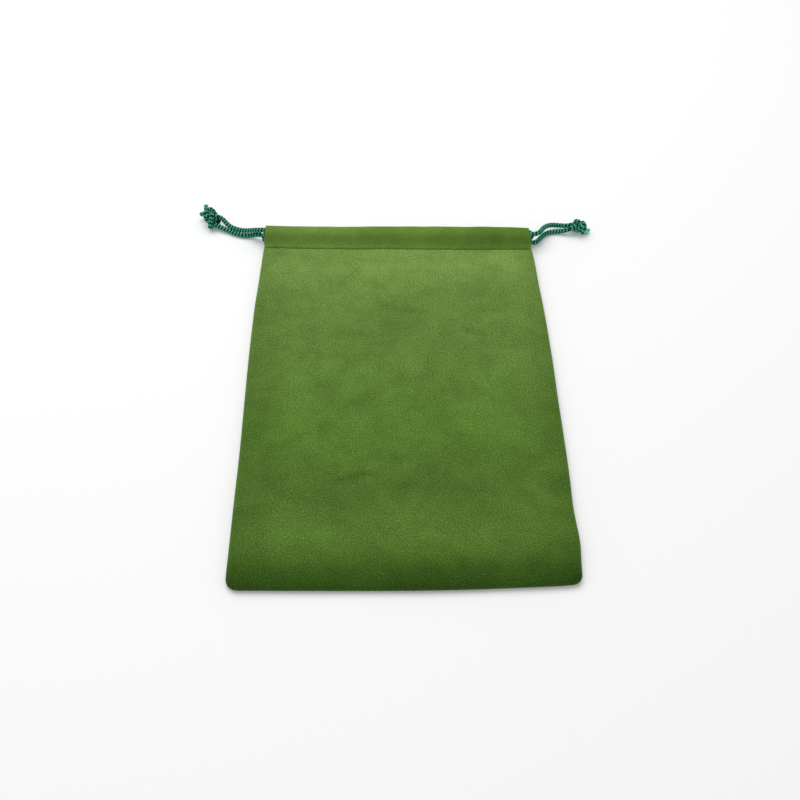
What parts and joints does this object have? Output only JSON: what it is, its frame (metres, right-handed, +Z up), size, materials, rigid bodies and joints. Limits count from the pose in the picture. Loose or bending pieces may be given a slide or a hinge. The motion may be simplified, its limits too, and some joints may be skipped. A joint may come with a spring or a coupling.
{
  "type": "drawstring dice bag",
  "caption": "Flat drawstring pouch of soft suedecloth with stitched casings along its mouth and a knotted cord pulled from each side.",
  "frame": {"origin": "on the surface that the bag lies on, under the middle of the cloth bag (without its cords)", "axes": "+Y along the bag towards its mouth, +X across it to the right, +Z up through its two panels"},
  "size_m": [0.1955, 0.2137, 0.0118],
  "materials": {
    "cloth": "brushed suedecloth nap",
    "thread": "matt sewing thread",
    "cord": "braided nylon, slightly shiny"
  },
  "bodies": {
    "bag": {"front_panel": "cloth", "back_panel": "cloth", "front_casing_stitches": "thread", "back_casing_stitches": "thread", "left_seam_stitches": "thread", "right_seam_stitches": "thread", "bottom_seam_stitches": "thread"},
    "left_drawstring": {"left_cord": "cord", "left_knot": "cord", "left_cord_ends": "cord"},
    "right_drawstring": {"right_cord": "cord", "right_knot": "cord", "right_cord_ends": "cord"}
  },
  "joints": [
    {"name": "left_cord_pull", "type": "slide", "parent": "bag", "child": "left_drawstring", "axis": [-1, 0, 0], "range_m": [0, 0.04], "deforming": ["front_panel", "back_panel", "front_casing_stitches", "back_casing_stitches", "left_seam_stitches", "right_seam_stitches"]},
    {"name": "right_cord_pull", "type": "slide", "parent": "bag", "child": "right_drawstring", "axis": [1, 0, 0], "range_m": [0, 0.04], "deforming": ["front_panel", "back_panel", "front_casing_stitches", "back_casing_stitches", "left_seam_stitches", "right_seam_stitches"]}
  ]
}
